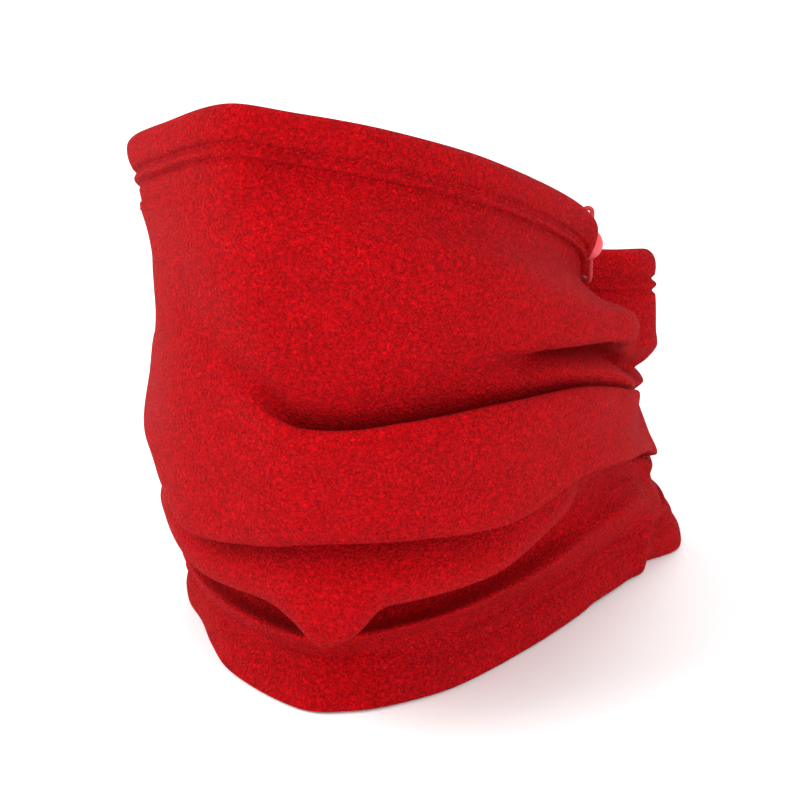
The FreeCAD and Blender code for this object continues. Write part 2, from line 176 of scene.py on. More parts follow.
cloth = {
    "thickness": 1.7, "columns": 296, "hemThickness": 5.0, "hemPly": 19.0, "hemEnd": 20.0,
    "stitchDrops": (12.0, 16.4), "grooveDepth": 1.3, "grooveWidth": 0.85, "insideGrooves": 0.6,
    "puff": 0.6, "puffWidth": 1.1, "hemPuffDrop": 6.5, "hemPuffWidth": 3.5,
    "cutAround": 0.60, "cutDown": 0.33, "cutArea": 0.165,
}

# The back seam: its station, the extra columns of cloth that draw it, its groove and its allowance.
# "columns", "clearance" and "grooveWidth" are in stations, the rest in millimetres.
seam = {"station": 14.3, "columns": (-0.07, -0.04, -0.02, 0, 0.02, 0.04, 0.07), "clearance": 0.085,
        "grooveDepth": 0.45, "grooveWidth": 0.03, "width": 7.0, "thickness": 1.2, "gap": 0.25,
        "belowTopHem": 20.0, "aboveLowerHem": 21.0, "topTrim": 9.0, "rowStep": 1.5, "foldReach": 6.0,
        "edge": 0.8, "round": 0.3, "crown": 0.1, "pitch": 2.6, "threadAside": 1.2, "threadLift": 0.15}

# How the cloth falls, row by row from the top hem to the floor.  Each key is station: (outwards, height).
# "level" says which plan outline the row is measured from: 0 crown, 1 belly, 2 foot.
falls = [
    {"name": "panelHigh", "level": 0.42, "steps": 12, "keys": {
        0: (0, 168), 1: (0, 165), 2: (-1, 161), 3: (-1, 151), 4: (-1, 134), 5: (-2, 122), 6: (-3, 116),
        7: (-2, 113), 8: (-3, 107), 9: (-5, 101), 10: (-6, 96), 11: (-5.5, 92), 11.5: (-4, 89),
        12: (-3, 86), 12.5: (-2.5, 84), 13: (-2.5, 84), 14: (0, 86), 15: (0, 94), 16: (0, 104),
        17: (0, 118), 18: (-4, 141), 19: (-5, 153), 20: (-2, 164)}},
    {"name": "ridge", "level": 0.5, "steps": 6, "keys": {
        0: (0, 152), 1: (-1, 145), 2: (-2, 141), 3: (-1, 138), 4: (1, 128), 5: (3, 119), 6: (4, 113),
        7: (4, 109), 8: (4, 103), 9: (3, 98), 10: (-2, 92), 11: (-5, 86), 11.5: (-4, 83), 12: (-3.5, 80),
        13: (-3, 79), 14: (1, 81), 15: (1, 89), 16: (1, 99), 17: (0, 113), 18: (-4, 134), 19: (-7, 145),
        20: (-3, 157)}},
    {"name": "ridgeEdge", "level": 0.58, "steps": 4, "keys": {
        0: (0, 142), 1: (-2, 132), 2: (-4, 127), 3: (-4, 125), 3.5: (-2, 121), 4: (0, 117), 5: (2, 110),
        6: (3, 105), 7: (3, 102), 8: (3, 99), 9: (1, 93), 10: (-5, 87), 11: (-9, 81), 11.5: (-9, 78),
        12: (-8, 75), 13: (-5, 75), 14: (0, 77.5), 15: (0, 85.5), 16: (0, 95), 17: (-1, 109), 18: (-5, 127),
        19: (-8, 138), 20: (-4, 150)}},
    {"name": "notch", "level": 0.62, "steps": 5, "keys": {
        0: (-1, 135), 1: (-4, 120), 2: (-7, 117), 3: (-8, 117), 3.5: (-10, 116), 4: (-13, 114),
        5: (-17, 109), 6: (-18, 104), 7: (-18, 100), 8: (-18, 97), 9: (-17, 90), 10: (-16, 83),
        11: (-15, 76), 12: (-13, 71), 13: (-10, 71), 14: (-7, 74), 15: (-8, 81.5), 16: (-8, 91),
        17: (-7, 104.5), 18: (-7, 121), 19: (-8, 133), 20: (-4, 143)}},
    {"name": "shelf", "level": 0.7, "steps": 6, "keys": {
        0: (-2, 128), 1: (-6, 113), 2: (-10, 110), 3: (-9, 111), 3.5: (-6, 110), 4: (-3, 108), 5: (0, 99),
        6: (1, 92), 7: (1, 87), 8: (1, 84), 9: (0, 80), 10: (-6, 76), 11: (-9, 71), 12: (-10, 67),
        13: (-6, 67), 14: (0, 71), 15: (0, 77.5), 16: (1, 87), 17: (0, 99), 18: (-6, 114), 19: (-8, 126),
        20: (-4, 136)}},
    {"name": "valley", "level": 0.8, "steps": 8, "keys": {
        0: (-4, 118), 0.5: (-9, 106), 1: (-13, 99), 2: (-17, 98), 3: (-16, 98), 4: (-13, 95), 5: (-12, 88),
        6: (-12, 84), 7: (-12, 80), 8: (-12, 76), 9: (-12, 72), 10: (-14, 69), 11: (-16, 66), 12: (-17, 62),
        13: (-13, 63), 14: (-11, 67), 15: (-12, 71), 16: (-12, 79), 17: (-12, 89), 18: (-10, 103),
        19: (-8, 118), 20: (-3, 129)}},
    {"name": "lip", "level": 0.84, "steps": 8, "keys": {
        0: (-1, 113), 0.5: (-1, 109), 1: (-1, 107), 1.5: (0, 108), 2: (0, 110), 3: (0, 110), 4: (0, 104),
        5: (0, 95), 6: (0, 89), 7: (0, 85), 8: (0, 81), 9: (-2, 77), 10: (-9, 73), 11: (-13, 69),
        12: (-15, 63), 13: (-10, 65), 14: (0, 72), 15: (1, 78), 16: (1, 86), 17: (0, 96), 18: (-4, 105),
        19: (-7, 111), 20: (-2, 119)}},
    {"name": "bellyHigh", "level": 0.92, "steps": 5, "keys": {
        0: (0, 103), 1: (2, 103), 2: (3, 105), 3: (3, 105), 4: (3, 99), 5: (2, 89), 6: (1, 83), 7: (0, 79),
        8: (-1, 75), 9: (-3, 71), 10: (-8, 66), 11: (-12, 62), 12: (-13, 57), 13: (-8, 59), 14: (1, 67),
        15: (3, 72), 16: (3, 79), 17: (3, 87), 18: (0, 92), 19: (-5, 93), 20: (0, 103)}},
    {"name": "bellyMid", "level": 1.0, "steps": 7, "keys": {
        0: (2, 89), 1: (3, 90), 2: (3, 92), 3: (3, 91), 4: (2, 86), 5: (1, 79), 6: (0, 74), 7: (-1, 70),
        8: (-2, 67), 9: (-3, 63), 10: (-6, 58), 11: (-9, 54), 12: (-10, 48), 13: (-6, 51), 14: (1, 57),
        15: (4, 60), 16: (4, 65), 17: (4, 71), 18: (2, 76), 19: (-2, 77), 20: (1, 86)}},
    {"name": "bellyEdge", "level": 1.2, "steps": 9, "keys": {
        0: (2, 66), 1: (3, 71), 2: (3, 73), 3: (3, 71), 3.5: (3, 73), 4: (3, 75), 5: (2, 69), 6: (1, 65),
        7: (0, 62), 8: (-1, 59), 9: (-3, 55), 10: (-5, 51), 11: (-7, 46), 12: (-8, 39), 13: (-5, 42),
        14: (0, 47), 15: (2, 50), 16: (2, 54), 17: (2, 59), 18: (1, 63), 19: (-3.5, 68), 19.5: (-1, 66),
        20: (1, 60)}},
    {"name": "tuckHigh", "level": 1.22, "steps": 6, "keys": {
        0: (-8, 66), 1: (-10, 70), 2: (-11, 72), 3: (-8, 69), 3.5: (-5, 71), 4: (-5, 72), 5: (-7, 67),
        6: (-8, 63), 7: (-9, 60), 8: (-10, 57), 9: (-12, 53), 10: (-14, 50), 11: (-15, 45), 12: (-14, 38),
        13: (-11, 41), 14: (-9, 46), 15: (-10, 49), 16: (-10, 53), 17: (-10, 57), 18: (-8, 60),
        19: (-6, 62), 20: (-6, 58)}},
    {"name": "rollMid", "level": 1.35, "steps": 6, "keys": {
        0: (1, 54), 1: (2, 56), 2: (2, 59), 3: (1, 59), 4: (-2, 62), 5: (-12, 60), 6: (-15, 57),
        7: (-17, 54), 8: (-17, 51), 9: (-17, 48), 10: (-16, 45), 11: (-14, 41), 12: (-10, 35), 13: (-5, 36),
        14: (1, 39), 15: (2, 41), 16: (2, 44), 17: (2, 47), 18: (-2, 50), 19: (-4, 53), 20: (0, 51)}},
    {"name": "rollEdge", "level": 1.5, "steps": 6, "keys": {
        0: (2, 45), 0.5: (4, 42), 1: (7, 36), 1.4: (7, 40), 1.7: (4, 48), 2: (4, 50), 3: (3, 52),
        3.5: (1, 55), 4: (-3, 56), 5: (-14, 52), 6: (-18, 49), 7: (-19, 46), 8: (-19, 43), 9: (-18, 41),
        10: (-16, 39), 11: (-14, 35), 12: (-11, 30), 13: (-4, 31), 14: (2, 33), 15: (3, 34), 16: (3, 37),
        17: (3, 40), 18: (0, 43), 19: (-3, 45), 20: (0, 43)}},
    {"name": "pocket", "level": 2.0, "steps": 7, "keys": {
        0: (-15, 34), 1: (-17, 36), 2: (-18, 38), 3: (-17, 38), 4: (-14, 41), 5: (-10, 41), 6: (-9, 40),
        7: (-9, 39), 8: (-9, 38), 9: (-9, 37), 10: (-9, 35), 11: (-9, 31), 12: (-9, 26), 13: (-8, 27),
        14: (-8, 28), 15: (-8, 29), 16: (-9, 30), 17: (-9, 31), 18: (-10, 31), 19: (-9, 31),
        20: (-13, 33)}},
    {"name": "pocketFloor", "level": 2.0, "steps": 5, "keys": {
        0: (-14, 22), 1: (-15, 23), 2: (-15, 25), 3: (-14, 26), 4: (-12, 29), 5: (-8, 33.5), 6: (-7, 35),
        7: (-7, 35.5), 8: (-7, 35), 9: (-7, 34), 10: (-7, 32), 11: (-8, 28.5), 12: (-8, 23), 13: (-6, 23),
        14: (-5, 24), 15: (-5, 25), 16: (-6, 25), 17: (-6, 25), 18: (-7, 24.5), 19: (-9, 22),
        20: (-13, 21.5)}},
    {"name": "bandTop", "level": 2.0, "steps": 7, "keys": {
        0: (-1, 25), 1: (-1, 26), 2: (-2, 27.5), 3: (-2, 27.5), 4: (-2, 28), 5: (-3, 30), 6: (-3, 31),
        7: (-3, 32), 8: (-3, 32), 9: (-4, 31), 10: (-5, 29), 11: (-6, 26), 12: (-6, 20), 13: (-3, 20),
        14: (0, 21), 15: (0, 21), 16: (0, 21), 17: (0, 21), 18: (-1, 20), 18.5: (-3, 20), 19: (-3, 21),
        20: (-2, 23.5)}},
    {"name": "bandMid", "level": 2.0, "steps": 9, "keys": {
        0: (-7, 13), 1: (-8, 14), 2: (-8, 18.5), 3: (-8, 18.5), 4: (-8, 17.5), 5: (-7, 17.5), 6: (-7, 17.5),
        7: (-7, 17.5), 8: (-7, 17.5), 9: (-6, 17), 10: (-4, 18), 11: (-2.5, 17), 12: (-2, 14), 13: (-1, 15),
        14: (-1, 15), 15: (-1, 15), 16: (-1, 15), 17: (-1, 15), 18: (-3, 14), 19: (-6, 13), 20: (-6, 13)}},
    {"name": "floorEdge", "level": 2.0, "steps": 14, "keys": {
        0: (1, 0.5), 1: (1, 0.7), 2: (-2, 0.5), 3: (-2, 0.5), 4: (-3, 0.8), 5: (-4, 1), 6: (-5, 1.4),
        7: (-5, 1.3), 8: (-5, 1.3), 9: (-5, 1), 10: (-4, 0.7), 10.5: (-7, 0.6), 11: (-7, 0.4),
        11.5: (-3, 0.3), 12: (2, 0.3), 12.5: (4, 0.3), 13: (0, 0.3), 14: (0, 0.3), 15: (0, 0.3),
        16: (0, 0.3), 17: (0, 0.3), 18: (-3, 0.3), 19: (-6, 0.3), 19.5: (-4, 0.3), 20: (-1, 0.3)}},
]

# How the top hem differs from the plain casing: the rim's rise, the whole hem's shift outwards, and
# how far its lower end leans out.
rimShape = {
    0: (0, 0, 0), 1: (0, 0, 0), 2: (0, 0, 0), 3: (1, 0, 0), 4: (3, 0, -1), 5: (3.5, 1, -5), 6: (2, 1, -7),
    7: (0, 0, -3), 8: (0, 0, 0), 9: (0, 0, 0), 10: (0, 0, 0), 11: (0, 0, 0), 12: (0, 1, 2),
    13: (-5, 0, 0), 14: (-4, 0, 0), 15: (-1, 0, 0), 16: (0, 0, 0), 17: (0, 0, 0), 18: (1, 0, -2),
    19: (2.5, 0, -4), 20: (0, 0, -1)}


def roundSpline(keys, at):
    # smooth closed curve through {station: value or tuple}, which are unevenly spaced
    places = sorted(keys)
    values = np.array([np.atleast_1d(keys[k]) for k in places], float)
    count = len(places)
    spots = np.array([p + stationCount * turn for turn in (-1, 0, 1, 2) for p in places])
    values = np.concatenate([values] * 4)
    slopes = np.zeros_like(values)
    slopes[1:-1] = (values[2:] - values[:-2]) / (spots[2:] - spots[:-2])[:, None]
    at = np.asarray(at, float) % stationCount
    index = np.searchsorted(spots, at, side="right") - 1
    width = spots[index + 1] - spots[index]
    u = ((at - spots[index]) / width)[:, None]
    width = width[:, None]
    return ((2 * u**3 - 3 * u**2 + 1) * values[index] + (u**3 - 2 * u**2 + u) * width * slopes[index]
            + (3 * u**2 - 2 * u**3) * values[index + 1] + (u**3 - u**2) * width * slopes[index + 1])


def heldSpline(points, at):
    # the CAD's own closed curve, which is only led by its points
    at = np.asarray(at, float) % stationCount
    index = np.floor(at).astype(int)
    u = (at - index)[:, None]
    p = [np.array(points, float)[(index + k) % stationCount] for k in (-1, 0, 1, 2)]
    return ((1 - u)**3 * p[0] + (3 * u**3 - 6 * u**2 + 4) * p[1]
            + (-3 * u**3 + 3 * u**2 + 3 * u + 1) * p[2] + u**3 * p[3]) / 6


def smoothStep(x, low, high):
    t = np.clip((np.asarray(x, float) - low) / (high - low), 0, 1)
    return t * t * (3 - 2 * t)


gather = {"start": (6.2, 7.4), "end": (10.6, 11.8)}


def crownAt(at):
    # the CAD's casing in the gather, where the eyelets are, and the full outline elsewhere
    at = np.asarray(at, float) % stationCount
    held = (smoothStep(at, *gather["start"]) * (1 - smoothStep(at, *gather["end"])))[:, None]
    free = roundSpline(dict(enumerate(crown)), at)
    return free * (1 - held) + heldSpline(crown, at) * held


def planAt(level, at):
    t = level / 2
    upper, middle, lower = (1 - t) * (1 - 2 * t), 4 * t * (1 - t), t * (2 * t - 1)
    return (upper * crownAt(at)[:, :2] + middle * roundSpline(dict(enumerate(belly)), at)
            + lower * roundSpline(dict(enumerate(foot)), at))


def outwardAt(level, at):
    along = planAt(level, np.asarray(at) + 0.05) - planAt(level, np.asarray(at) - 0.05)
    along /= np.linalg.norm(along, axis=1)[:, None]
    return np.stack([along[:, 1], -along[:, 0]], 1)


def ringAt(level, at, out, height):
    plan = planAt(level, at) + outwardAt(level, at) * np.reshape(out, (-1, 1))
    return np.column_stack([plan, np.broadcast_to(height, len(plan))])


def evenStations(count):
    # stations at even spacing along the cloth, halfway between crown and foot
    fine = np.linspace(0, stationCount, 4201)
    middle = (crownAt(fine)[:, :2] + planAt(2, fine)) / 2
    length = np.concatenate([[0], np.cumsum(np.linalg.norm(np.diff(middle, axis=0), axis=1))])
    return np.interp(np.arange(count) * length[-1] / count, length, fine)


def hemShift(shape, drop):
    # how far out the top hem is moved, at one depth below the rim
    return shape[:, 1] + shape[:, 2] * drop / cloth["hemEnd"]


def buildRings(at):
    # every row of the cloth's right side: the top hem's inner ply, the rim, the folds and the lower hem's ply
    rim = crownAt(at)
    thick, ply, end = cloth["hemThickness"], cloth["hemPly"], cloth["hemEnd"]
    topHem = [  # outwards, down from the rim, steps to reach it
        (-thick * 0.74, ply, 0), (-thick * 0.72, 14, 4), (-thick, 7, 5), (-thick * 0.93, 1.7, 4),
        (-thick / 2, 0, 4), (-thick * 0.07, 1.7, 4), (0.2, 6, 6), (0, 12, 9), (0, end, 13)]
    lowerHem = [(1.9, -0.1, 4), (3.6, 1.8, 4), (3.8, 10, 6), (3.6, ply, 7)]  # inwards, up, steps to reach it
    rings, steps = [], []
    shape = roundSpline(rimShape, at)
    for out, drop, count in topHem:
        rings.append(ringAt(0, at, out + hemShift(shape, drop), rim[:, 2] + shape[:, 0] - drop))
        steps.append(count)
    for fall in falls:
        both = roundSpline(fall["keys"], at)
        rings.append(ringAt(fall["level"], at, both[:, 0], both[:, 1]))
        steps.append(fall["steps"])
    edge = roundSpline(falls[-1]["keys"], at)
    lean = roundSpline(falls[-2]["keys"], at)
    for inset, rise, count in lowerHem:
        follow = rise / 17.5  # the inner ply leans as the outer one does, over the hem's depth
        out = edge[:, 0] * (1 - follow) + lean[:, 0] * follow - inset
        rings.append(ringAt(2, at, out, np.maximum(edge[:, 1], 0.3) + rise))  # never on the floor itself
        steps.append(count)
    return rings, steps


def chainedColumns(rings, steps):
    # a centripetal curve down each column, cut into the same steps in every column
    points = np.stack(rings)
    points = np.concatenate([2 * points[:1] - points[1:2], points, 2 * points[-1:] - points[-2:-1]])
    out = [points[1]]
    for k in range(1, len(rings)):
        a, b, c, d = points[k - 1], points[k], points[k + 1], points[k + 2]
        gap = [np.sqrt(np.linalg.norm(q - p, axis=1))[:, None] + 1e-6 for p, q in ((a, b), (b, c), (c, d))]
        slopeB = ((b - a) / gap[0] - (c - a) / (gap[0] + gap[1]) + (c - b) / gap[1]) * gap[1]
        slopeC = ((c - b) / gap[1] - (d - b) / (gap[1] + gap[2]) + (d - c) / gap[2]) * gap[1]
        for i in range(1, steps[k] + 1):
            u = i / steps[k]
            out.append((2 * u**3 - 3 * u**2 + 1) * b + (u**3 - 2 * u**2 + u) * slopeB
                       + (3 * u**2 - 2 * u**3) * c + (u**3 - u**2) * slopeC)
    return np.stack(out)  # rows x columns x 3


def gridNormals(grid):
    around = np.roll(grid, -1, 1) - np.roll(grid, 1, 1)
    down = np.gradient(grid, axis=0)
    normals = np.cross(around, down)
    normals = -normals / (np.linalg.norm(normals, axis=2)[:, :, None] + 1e-9)
    return normals


farAway = 1e3


def edgeRun(grid, row, way):
    # distance along the cloth from the row that is the fold of a hem, one way only
    run = np.full(grid.shape[:2], farAway)
    run[row] = 0
    k = row
    while 0 <= k + way < len(grid):
        run[k + way] = run[k] + np.linalg.norm(grid[k + way] - grid[k], axis=1)
        k += way
    return run


def stitchRelief(run):
    # the two sewn grooves, and the cloth puffed up between and above them
    relief = np.zeros_like(run)
    for drop in cloth["stitchDrops"]:
        relief -= cloth["grooveDepth"] * np.exp(-((run - drop) / cloth["grooveWidth"])**2)
    between = sum(cloth["stitchDrops"]) / 2
    relief += cloth["puff"] * np.exp(-((run - between) / cloth["puffWidth"])**2)
    relief += cloth["puff"] * np.exp(-((run - cloth["hemPuffDrop"]) / cloth["hemPuffWidth"])**2)
    return relief


def meshFromGrid(name, grid, closedAround=True):
    rows, columns = grid.shape[:2]
    faces = []
    for j in range(rows - 1):
        for i in range(columns if closedAround else columns - 1):
            k = (i + 1) % columns
            faces.append((j * columns + i, (j + 1) * columns + i, (j + 1) * columns + k, j * columns + k))
    mesh = bpy.data.meshes.new(name)
    mesh.from_pydata((grid.reshape(-1, 3) * mm).tolist(), [], faces)
    mesh.validate()
    piece = bpy.data.objects.new(name, mesh)
    bpy.context.scene.collection.objects.link(piece)
    return piece


stations = evenStations(cloth["columns"])
stations = stations[np.abs(stations - seam["station"]) > seam["clearance"]]
stations = np.sort(np.concatenate([stations, seam["station"] + np.array(seam["columns"])]))
rings, steps = buildRings(stations)
grid = chainedColumns(rings, steps)
rimRow = sum(steps[1:5])  # the rim is the fifth ring
floorRow = sum(steps[1:9 + len(falls)])  # nine rings of top hem, then the falls down to the lower edge
normals = gridNormals(grid)
fromRim = edgeRun(grid, rimRow, 1)
fromFloor = edgeRun(grid, floorRow, -1)
insideRim = edgeRun(grid, rimRow, -1)
insideFloor = edgeRun(grid, floorRow, 1)
relief = sum(stitchRelief(run) for run in (fromRim, fromFloor))
relief += cloth["insideGrooves"] * sum(stitchRelief(run) for run in (insideRim, insideFloor))
relief -= seam["grooveDepth"] * np.exp(-((stations - seam["station"]) / seam["grooveWidth"])**2)
grid = grid + normals * relief[:, :, None]
print("cloth grid", grid.shape, "top z", grid[:, :, 2].max().round(1))


def makeFleece():
    piece = meshFromGrid("fleece", grid)
    pickOnly(piece)
    solid = piece.modifiers.new("ply", "SOLIDIFY")
    solid.thickness = cloth["thickness"] * mm
    solid.offset = -1
    solid.use_even_offset = False
    bpy.ops.object.modifier_apply(modifier="ply")
    bpy.ops.object.shade_smooth()
    return piece


# Brushed polyester fleece, knitted then raised and sheared: matt, pebbled into soft nodules about 1 mm
# across, with painted shade in the cracks between them and a painted highlight on their tops, and a pale
# bloom where it is seen edge on.  Sizes are in mm.
# The first colour is painted shade for the cracks, the second the fleece's own red, the last a painted
# highlight on the nodule tops.
fleeceLook = {"paintedCrackShade": "#8a0005", "mid": "#bc0109", "high": "#d60813", "nodule": 0.95, "crack": 1.15,
              "wander": 2.0, "drift": 2.2, "patch": 9.0, "bump": 1.1}


def makeFleeceMaterial():
    material, tree, shader = newMaterial(
        "brushedFleece", Roughness=0.8, Sheen_Weight=0.07, Sheen_Roughness=0.3, Specular_IOR_Level=0.05)
    shader.inputs["Sheen Tint"].default_value = toLinear("#ff5a68")
    place = addNode(tree, "ShaderNodeTexCoord").outputs["Object"]
    wander = addNode(tree, "ShaderNodeTexNoise", {"Vector": place},
                     inputs={"Scale": 1000 / fleeceLook["wander"], "Detail": 3.0})
    centred = addNode(tree, "ShaderNodeVectorMath", {0: wander.outputs["Color"]}, operation="SUBTRACT",
                      inputs={1: (0.5, 0.5, 0.5)})
    drift = addNode(tree, "ShaderNodeVectorMath", {0: centred.outputs[0]}, operation="SCALE",
                    inputs={"Scale": fleeceLook["drift"] * mm})
    strayed = addNode(tree, "ShaderNodeVectorMath", {0: place, 1: drift.outputs[0]}, operation="ADD")
    nodules = addNode(tree, "ShaderNodeTexVoronoi", {"Vector": strayed.outputs[0]}, feature="SMOOTH_F1",
                      inputs={"Scale": 1000 / fleeceLook["nodule"], "Smoothness": 0.35})
    curls = addNode(tree, "ShaderNodeTexNoise", {"Vector": strayed.outputs[0]},
                    inputs={"Scale": 1000 / fleeceLook["crack"], "Detail": 4.0, "Roughness": 0.65})
    patches = addNode(tree, "ShaderNodeTexNoise", {"Vector": place},
                      inputs={"Scale": 1000 / fleeceLook["patch"], "Detail": 3.0, "Roughness": 0.55})
    top = addNode(tree, "ShaderNodeMapRange", {"Value": nodules.outputs["Distance"]},
                  inputs={"From Min": 0.12, "From Max": 0.62, "To Min": 1.0, "To Max": 0.0})
    opening = addNode(tree, "ShaderNodeMapRange", {"Value": curls.outputs["Fac"]},
                      inputs={"From Min": 0.34, "From Max": 0.6, "To Min": 0.1, "To Max": 0.9})
    height = addNode(tree, "ShaderNodeMath", {0: top.outputs[0], 1: opening.outputs[0]}, operation="ADD")
    half = addNode(tree, "ShaderNodeMath", {0: height.outputs[0]}, operation="MULTIPLY", inputs={1: 0.5})
    # colour by nodule height: painted shade low in the cracks, the fleece's own red between, painted
    # highlight on the nodule tops
    shade = addNode(tree, "ShaderNodeValToRGB", {"Fac": half.outputs[0]})
    setRamp(shade, [(0.05, toLinear(fleeceLook["paintedCrackShade"])), (0.42, toLinear(fleeceLook["mid"])),
                    (1.0, toLinear(fleeceLook["high"]))])
    tone = addNode(tree, "ShaderNodeMapRange", {"Value": patches.outputs["Fac"]},
                   inputs={"From Min": 0.3, "From Max": 0.7, "To Min": 0.93, "To Max": 1.07})
    colour = addNode(tree, "ShaderNodeVectorMath", {0: shade.outputs["Color"], "Scale": tone.outputs[0]},
                     operation="SCALE")
    tree.links.new(colour.outputs[0], shader.inputs["Base Color"])
    bump = addNode(tree, "ShaderNodeBump", {"Height": height.outputs[0]},
                   inputs={"Strength": 1.0, "Distance": fleeceLook["bump"] * mm})
    tree.links.new(bump.outputs["Normal"], shader.inputs["Normal"])
    return material


fleece = makeFleece()
fleeceMaterial = makeFleeceMaterial()
fleece.data.materials.append(fleeceMaterial)
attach(fleece, "gaiter")
print("fleece done", len(fleece.data.polygons))


# Coverstitching: two rows of thread on both sides of each hem.  Sizes are in mm.
stitching = {"pitch": 3.1, "length": 2.5, "width": 0.62, "depth": 0.45, "ring": 6, "sink": -0.3}


def lineAtRun(run, drop):
    # where the cloth's outside is, at one distance from a hem's fold, with the way out of the cloth
    line, ways = [], []
    for i in range(grid.shape[1]):
        column = run[:, i]
        usable = np.where(column < farAway)[0]
        order = usable[np.argsort(column[usable])]
        k = int(np.searchsorted(column[order], drop))
        a, b = order[k - 1], order[k]
        share = (drop - column[a]) / (column[b] - column[a])
        line.append(grid[a, i] * (1 - share) + grid[b, i] * share)
        ways.append(normals[a, i] * (1 - share) + normals[b, i] * share)
    return np.array(line), np.array(ways)


def spacedAlong(line, ways, pitch):
    closed = np.concatenate([line, line[:1]])
    out = np.concatenate([ways, ways[:1]])
    length = np.concatenate([[0], np.cumsum(np.linalg.norm(np.diff(closed, axis=0), axis=1))])
    count = int(length[-1] / pitch)
    at = np.arange(count) * length[-1] / count
    points = np.stack([np.interp(at, length, closed[:, k]) for k in range(3)], 1)
    away = np.stack([np.interp(at, length, out[:, k]) for k in range(3)], 1)
    along = np.roll(points, -1, 0) - np.roll(points, 1, 0)
    along /= np.linalg.norm(along, axis=1)[:, None]
    away -= along * (along * away).sum(1)[:, None]
    away /= np.linalg.norm(away, axis=1)[:, None]
    return points, along, away


def makeStitchRow(name, run, drop, node=None):
    return makeStitches(name, *spacedAlong(*lineAtRun(run, drop), stitching["pitch"]), node)


def makeStitches(name, points, along, away, node=None):
    # each stitch is a short plump lozenge whose ends dive into the cloth
    side = np.cross(along, away)
    sections = [(-0.5, 0.25, -0.5), (-0.36, 0.8, 0.1), (0.0, 1.0, 0.42), (0.36, 0.8, 0.1), (0.5, 0.25, -0.5)]
    vertices, faces = [], []
    for k in range(len(points)):
        first = len(vertices)
        for shift, girth, rise in sections:
            centre = points[k] + along[k] * shift * stitching["length"]
            centre = centre + away[k] * (rise * stitching["depth"] + stitching["sink"])
            for c in range(stitching["ring"]):
                turn = 2 * math.pi * c / stitching["ring"]
                vertices.append(centre + side[k] * math.cos(turn) * stitching["width"] / 2 * girth
                                + away[k] * math.sin(turn) * stitching["depth"] / 2 * girth)
        ring = stitching["ring"]
        for s in range(len(sections) - 1):
            for c in range(ring):
                d = (c + 1) % ring
                faces.append((first + s * ring + c, first + s * ring + d,
                              first + (s + 1) * ring + d, first + (s + 1) * ring + c))
        faces.append(tuple(first + c for c in range(ring))[::-1])
        faces.append(tuple(first + (len(sections) - 1) * ring + c for c in range(ring)))
    mesh = bpy.data.meshes.new(name)
    mesh.from_pydata([tuple(v * mm) for v in vertices], [], faces)
    piece = bpy.data.objects.new(name, mesh)
    bpy.context.scene.collection.objects.link(piece)
    pickOnly(piece)
    bpy.ops.object.mode_set(mode="EDIT")
    bpy.ops.mesh.select_all(action="SELECT")
    bpy.ops.mesh.normals_make_consistent(inside=False)
    bpy.ops.object.mode_set(mode="OBJECT")
    bpy.ops.object.shade_smooth()
    piece.data.materials.append(threadMaterial)
    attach(piece, "gaiter")
    if node:
        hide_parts(node)
    return piece


# Spun polyester sewing thread: matt, a shade darker than the cloth, two plies twisted together.
def makeThreadMaterial():
    material, tree, shader = newMaterial("spunPolyesterThread", Roughness=0.8, Specular_IOR_Level=0.15)
    place = addNode(tree, "ShaderNodeTexCoord").outputs["Object"]
    twist = addNode(tree, "ShaderNodeTexWave", {"Vector": place}, bands_direction="DIAGONAL",
                    inputs={"Scale": 450.0, "Distortion": 1.5})
    shade = addNode(tree, "ShaderNodeValToRGB", {"Fac": twist.outputs["Fac"]})
    setRamp(shade, [(0.0, toLinear("#8c030c")), (1.0, toLinear("#b8081a"))])
    tree.links.new(shade.outputs["Color"], shader.inputs["Base Color"])
    bump = addNode(tree, "ShaderNodeBump", {"Height": twist.outputs["Fac"]},
                   inputs={"Strength": 0.5, "Distance": 0.1 * mm})
    tree.links.new(bump.outputs["Normal"], shader.inputs["Normal"])
    return material


threadMaterial = makeThreadMaterial()
upperDrop, lowerDrop = cloth["stitchDrops"]
stitchRows = [
    makeStitchRow("topStitchUpper", fromRim, upperDrop, "top_stitch_upper"),
    makeStitchRow("topStitchLower", fromRim, lowerDrop, "top_stitch_lower"),
    makeStitchRow("bottomStitchUpper", fromFloor, lowerDrop, "bottom_stitch_upper"),
    makeStitchRow("bottomStitchLower", fromFloor, upperDrop, "bottom_stitch_lower"),
    makeStitchRow("topInsideUpper", insideRim, upperDrop),
    makeStitchRow("topInsideLower", insideRim, lowerDrop),
    makeStitchRow("bottomInsideUpper", insideFloor, lowerDrop),
    makeStitchRow("bottomInsideLower", insideFloor, upperDrop),
]
print("stitching done")


